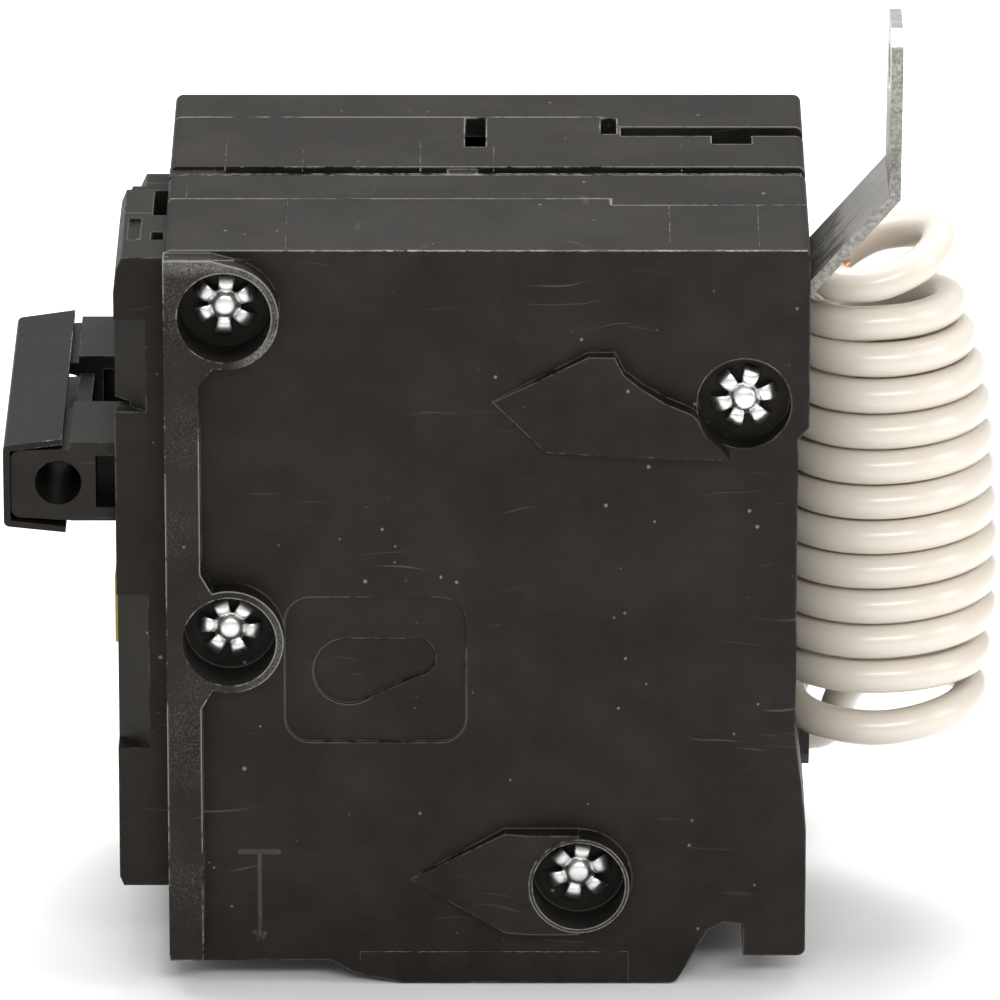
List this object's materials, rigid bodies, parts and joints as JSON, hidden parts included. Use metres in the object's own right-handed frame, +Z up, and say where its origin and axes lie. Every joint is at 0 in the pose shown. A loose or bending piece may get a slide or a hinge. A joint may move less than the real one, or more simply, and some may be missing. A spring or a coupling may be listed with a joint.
{
  "type": "gfci breaker",
  "caption": "Double-pole ground-fault circuit breaker with tied handles, rivet-joined black case, bent line strap and coiled white pigtail.",
  "frame": {"origin": "on the flat underside of the foot, in the plane between the two poles, at half the depth of the moulded case", "axes": "+X from the handles towards the pigtail at the back, +Y from the near pole to the far pole, +Z up from the load end to the line end"},
  "size_m": [0.0991, 0.0506, 0.0976],
  "materials": {
    "case_plastic": "moulded thermoset, matte, scuffed edges",
    "handle_plastic": "moulded, smooth",
    "zinc_steel": "zinc plated",
    "painted_steel": "black, satin",
    "tinned_strap": "tin plated, rolled",
    "copper": "bare copper",
    "silver_contact": "silver alloy",
    "arc_fibre": "vulcanised fibre",
    "dark_steel": "plain steel",
    "spring_steel": "spring wire",
    "board_resin": "solder-masked laminate",
    "core_resin": "potted ring",
    "wire_jacket": "glossy off-white insulation",
    "bush_rubber": "moulded",
    "button_plastic": "moulded"
  },
  "bodies": {
    "case": {"near_pole_cover": "case_plastic", "near_pole_base": "case_plastic", "far_pole_cover": "case_plastic", "far_pole_base": "case_plastic", "case_rivets": "zinc_steel", "pivot_pins": "zinc_steel", "line_strap": "tinned_strap", "line_jaw": "tinned_strap", "fixed_contacts": "silver_contact", "arc_chutes": "arc_fibre", "arc_plates": "dark_steel", "bimetals": "copper", "magnet_yokes": "zinc_steel", "calibration_screws": "zinc_steel", "braids": "copper", "near_toggle_spring": "spring_steel", "far_toggle_spring": "spring_steel", "solenoid_frame": "zinc_steel", "solenoid_winding": "copper", "plunger_spring": "spring_steel", "circuit_board": "board_resin", "board_components": "board_resin", "sensing_toroids": "core_resin", "primary_wires": "wire_jacket", "button_spring": "spring_steel", "test_contact": "tinned_strap", "near_load_lug": "tinned_strap", "far_load_lug": "tinned_strap", "neutral_lug": "tinned_strap", "cable_bush": "bush_rubber", "pigtail_lead": "wire_jacket", "pigtail_coil": "wire_jacket", "pigtail_strands": "copper"},
    "handles": {"near_handle": "handle_plastic", "far_handle": "handle_plastic", "handle_tie": "painted_steel"},
    "near_arm": {"near_contact_arm": "copper", "near_moving_contact": "silver_contact"},
    "far_arm": {"far_contact_arm": "copper", "far_moving_contact": "silver_contact"},
    "near_cradle": {"near_cradle": "zinc_steel"},
    "far_cradle": {"far_cradle": "zinc_steel"},
    "plunger": {"solenoid_plunger": "zinc_steel"},
    "trip_bar": {"trip_bar": "arc_fibre"},
    "near_armature": {"near_armature": "zinc_steel"},
    "far_armature": {"far_armature": "zinc_steel"},
    "test_button": {"test_button": "button_plastic"},
    "near_load_pad": {"near_load_pad": "tinned_strap"},
    "near_load_screw": {"near_load_screw": "zinc_steel"},
    "far_load_pad": {"far_load_pad": "tinned_strap"},
    "far_load_screw": {"far_load_screw": "zinc_steel"},
    "neutral_pad": {"neutral_pad": "tinned_strap"},
    "neutral_screw": {"neutral_screw": "zinc_steel"}
  },
  "joints": [
    {"name": "handle_swing", "type": "hinge", "parent": "case", "child": "handles", "pos_m": [-0.0226, 0, 0.0513], "axis": [0, 1, 0], "range_deg": [-15, 15]},
    {"name": "near_arm_swing", "type": "hinge", "parent": "case", "child": "near_arm", "pos_m": [-0.0116, -0.0127, 0.0533], "axis": [0, 1, 0], "range_deg": [-12, 12], "deforming": ["near_toggle_spring"]},
    {"name": "near_cradle_swing", "type": "hinge", "parent": "case", "child": "near_cradle", "pos_m": [-0.0056, -0.0055, 0.0693], "axis": [0, 1, 0], "range_deg": [-6, 6]},
    {"name": "far_arm_swing", "type": "hinge", "parent": "case", "child": "far_arm", "pos_m": [-0.0116, 0.0127, 0.0533], "axis": [0, 1, 0], "range_deg": [-12, 12], "deforming": ["far_toggle_spring"]},
    {"name": "far_cradle_swing", "type": "hinge", "parent": "case", "child": "far_cradle", "pos_m": [-0.0056, 0.0199, 0.0693], "axis": [0, 1, 0], "range_deg": [-6, 6]},
    {"name": "plunger_stroke", "type": "slide", "parent": "case", "child": "plunger", "axis": [1, 0, 0], "range_m": [0, 0.002], "stiffness_N_per_m": 200, "springref_m": -0.002, "deforming": ["plunger_spring"]},
    {"name": "trip_bar_slide", "type": "slide", "parent": "case", "child": "trip_bar", "axis": [1, 0, 0], "range_m": [0, 0.002]},
    {"name": "near_armature_swing", "type": "hinge", "parent": "case", "child": "near_armature", "pos_m": [0.0143, -0.0129, 0.0445], "axis": [0, 1, 0], "range_deg": [-3.6, 0.1]},
    {"name": "far_armature_swing", "type": "hinge", "parent": "case", "child": "far_armature", "pos_m": [0.0143, 0.0125, 0.0445], "axis": [0, 1, 0], "range_deg": [-3.6, 0.1]},
    {"name": "test_press", "type": "slide", "parent": "case", "child": "test_button", "axis": [1, 0, 0], "range_m": [0, 0.0015], "stiffness_N_per_m": 300, "springref_m": -0.001, "deforming": ["button_spring"]},
    {"name": "near_load_clamp", "type": "slide", "parent": "case", "child": "near_load_pad", "axis": [1, 0, 0], "range_m": [0, 0.0027]},
    {"name": "near_load_screw_turn", "type": "hinge", "parent": "near_load_pad", "child": "near_load_screw", "pos_m": [-0.0266, -0.0127, 0.0073], "axis": [1, 0, 0], "range_deg": [0, 1389]},
    {"name": "far_load_clamp", "type": "slide", "parent": "case", "child": "far_load_pad", "axis": [1, 0, 0], "range_m": [0, 0.0027]},
    {"name": "far_load_screw_turn", "type": "hinge", "parent": "far_load_pad", "child": "far_load_screw", "pos_m": [-0.0266, 0.0093, 0.0073], "axis": [1, 0, 0], "range_deg": [0, 1389]},
    {"name": "neutral_clamp", "type": "slide", "parent": "case", "child": "neutral_pad", "axis": [1, 0, 0], "range_m": [0, 0.0027]},
    {"name": "neutral_screw_turn", "type": "hinge", "parent": "neutral_pad", "child": "neutral_screw", "pos_m": [-0.0266, 0.0184, 0.0073], "axis": [1, 0, 0], "range_deg": [0, 1389]}
  ],
  "couplings": [
    {"joint": "near_arm_swing", "follows": "handle_swing", "ratio": -0.8},
    {"joint": "far_arm_swing", "follows": "handle_swing", "ratio": -0.8},
    {"joint": "near_cradle_swing", "follows": "handle_swing", "ratio": 0.4},
    {"joint": "far_cradle_swing", "follows": "handle_swing", "ratio": 0.4},
    {"joint": "trip_bar_slide", "follows": "plunger_stroke", "ratio": 1},
    {"joint": "near_armature_swing", "follows": "plunger_stroke", "rad_per_m": -30.5},
    {"joint": "far_armature_swing", "follows": "plunger_stroke", "rad_per_m": -30.5},
    {"joint": "near_load_screw_turn", "follows": "near_load_clamp", "rad_per_m": 8976},
    {"joint": "far_load_screw_turn", "follows": "far_load_clamp", "rad_per_m": 8976},
    {"joint": "neutral_screw_turn", "follows": "neutral_clamp", "rad_per_m": 8976}
  ]
}
